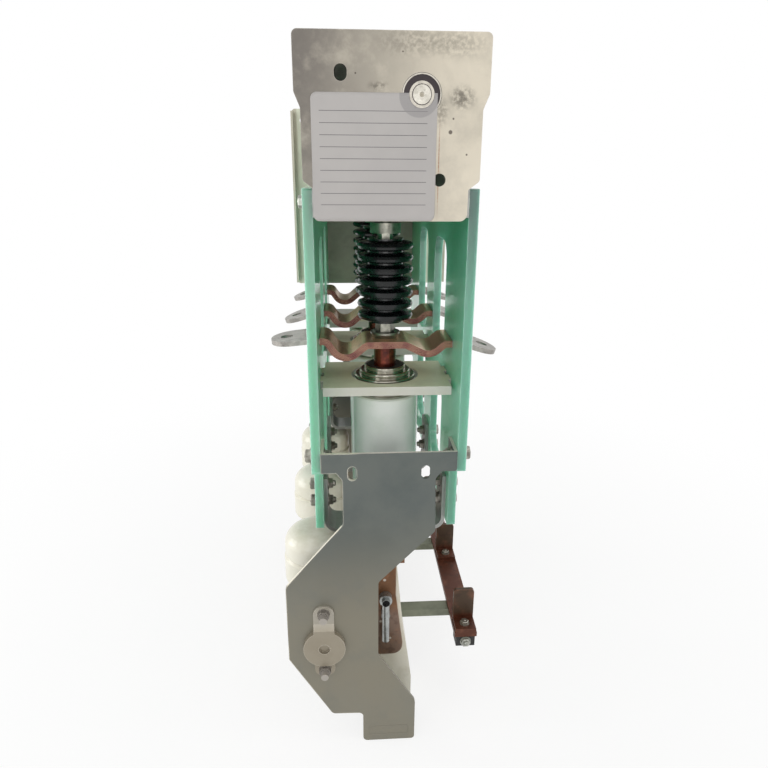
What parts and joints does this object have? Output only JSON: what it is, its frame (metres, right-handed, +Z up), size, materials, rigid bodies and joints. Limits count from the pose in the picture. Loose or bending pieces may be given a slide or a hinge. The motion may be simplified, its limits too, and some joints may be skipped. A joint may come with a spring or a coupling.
{
  "type": "vacuum circuit breaker",
  "caption": "Indoor vacuum circuit breaker with upright interrupters between green insulating boards, ribbed pull rods, flexible connectors and a switch below.",
  "frame": {"origin": "on the floor under the middle pole, midway between the side boards", "axes": "+X to the right seen from the near end plate, +Y along the row of poles to the mechanism panel, +Z up"},
  "size_m": [0.236, 0.489, 0.731],
  "materials": {
    "plate_paint": "worn cream-grey paint",
    "zinc_sheet": "dull zinc",
    "panel_paint": "cream paint",
    "bearing_steel": "ground steel with dark seals",
    "shaft_steel": "turned steel",
    "bright_steel": "plated steel",
    "stem_copper": "bare copper",
    "tinned_copper": "dull tin plating",
    "black_bush": "black moulding",
    "bracket_paint": "grey paint, worn",
    "cap_steel": "pressed steel",
    "blade_copper": "tarnished copper",
    "earth_copper": "dark copper",
    "arm_laminate": "glass laminate",
    "green_laminate": "glossy green glass laminate",
    "black_insulator": "glossy black moulding",
    "strip_copper": "stacked copper strips",
    "white_laminate": "white laminate",
    "cap_chrome": "bright metal rings",
    "ceramic": "white glazed ceramic",
    "ivory_resin": "ivory moulding"
  },
  "bodies": {
    "root": {"front_end_plate": "plate_paint", "top_channel": "zinc_sheet", "mechanism_panel": "panel_paint", "shaft_bearings": "bearing_steel", "left_side_board": "green_laminate", "right_side_board": "green_laminate", "flexible_connector_1": "strip_copper", "flexible_connector_2": "strip_copper", "flexible_connector_3": "strip_copper", "left_lugs": "tinned_copper", "right_lugs": "tinned_copper", "support_shelf_1": "white_laminate", "support_shelf_2": "white_laminate", "support_shelf_3": "white_laminate", "interrupter_1": "ceramic", "interrupter_2": "ceramic", "interrupter_3": "ceramic", "interrupter_cap_1": "cap_chrome", "interrupter_cap_2": "cap_chrome", "interrupter_cap_3": "cap_chrome", "guide_bushes": "black_bush", "lower_saddle_1": "zinc_sheet", "lower_saddle_2": "zinc_sheet", "lower_saddle_3": "zinc_sheet", "front_switch_bracket": "bracket_paint", "rear_switch_bracket": "bracket_paint", "switch_bearing_caps": "cap_steel", "switch_shaft": "shaft_steel", "insulating_arm_1": "ivory_resin", "insulating_arm_2": "ivory_resin", "insulating_arm_3": "ivory_resin", "bottom_tie_bar": "bracket_paint", "post_insulator_1": "ivory_resin", "post_insulator_2": "ivory_resin", "post_insulator_3": "ivory_resin", "switch_blades": "blade_copper", "blade_contacts": "cap_chrome", "lower_terminals": "stem_copper", "earth_bar": "earth_copper", "bar_end_block": "black_bush", "earth_bar_arms": "arm_laminate"},
    "drive_shaft": {"drive_shaft": "shaft_steel"},
    "pull_rods": {"pull_rod_1": "black_insulator", "pull_rod_2": "black_insulator", "pull_rod_3": "black_insulator", "rod_fittings": "bright_steel", "moving_stems": "stem_copper"}
  },
  "joints": [
    {"name": "contact_stroke", "type": "slide", "parent": "root", "child": "pull_rods", "axis": [0, 0, 1], "range_m": [0, 0.009], "deforming": ["flexible_connector_1", "flexible_connector_2", "flexible_connector_3"]},
    {"name": "shaft_turn", "type": "hinge", "parent": "root", "child": "drive_shaft", "pos_m": [0.024, 0, 0.685], "axis": [0, 1, 0], "range_deg": [0, 22.3]}
  ],
  "couplings": [
    {"joint": "shaft_turn", "follows": "contact_stroke", "rad_per_m": 42.702}
  ]
}
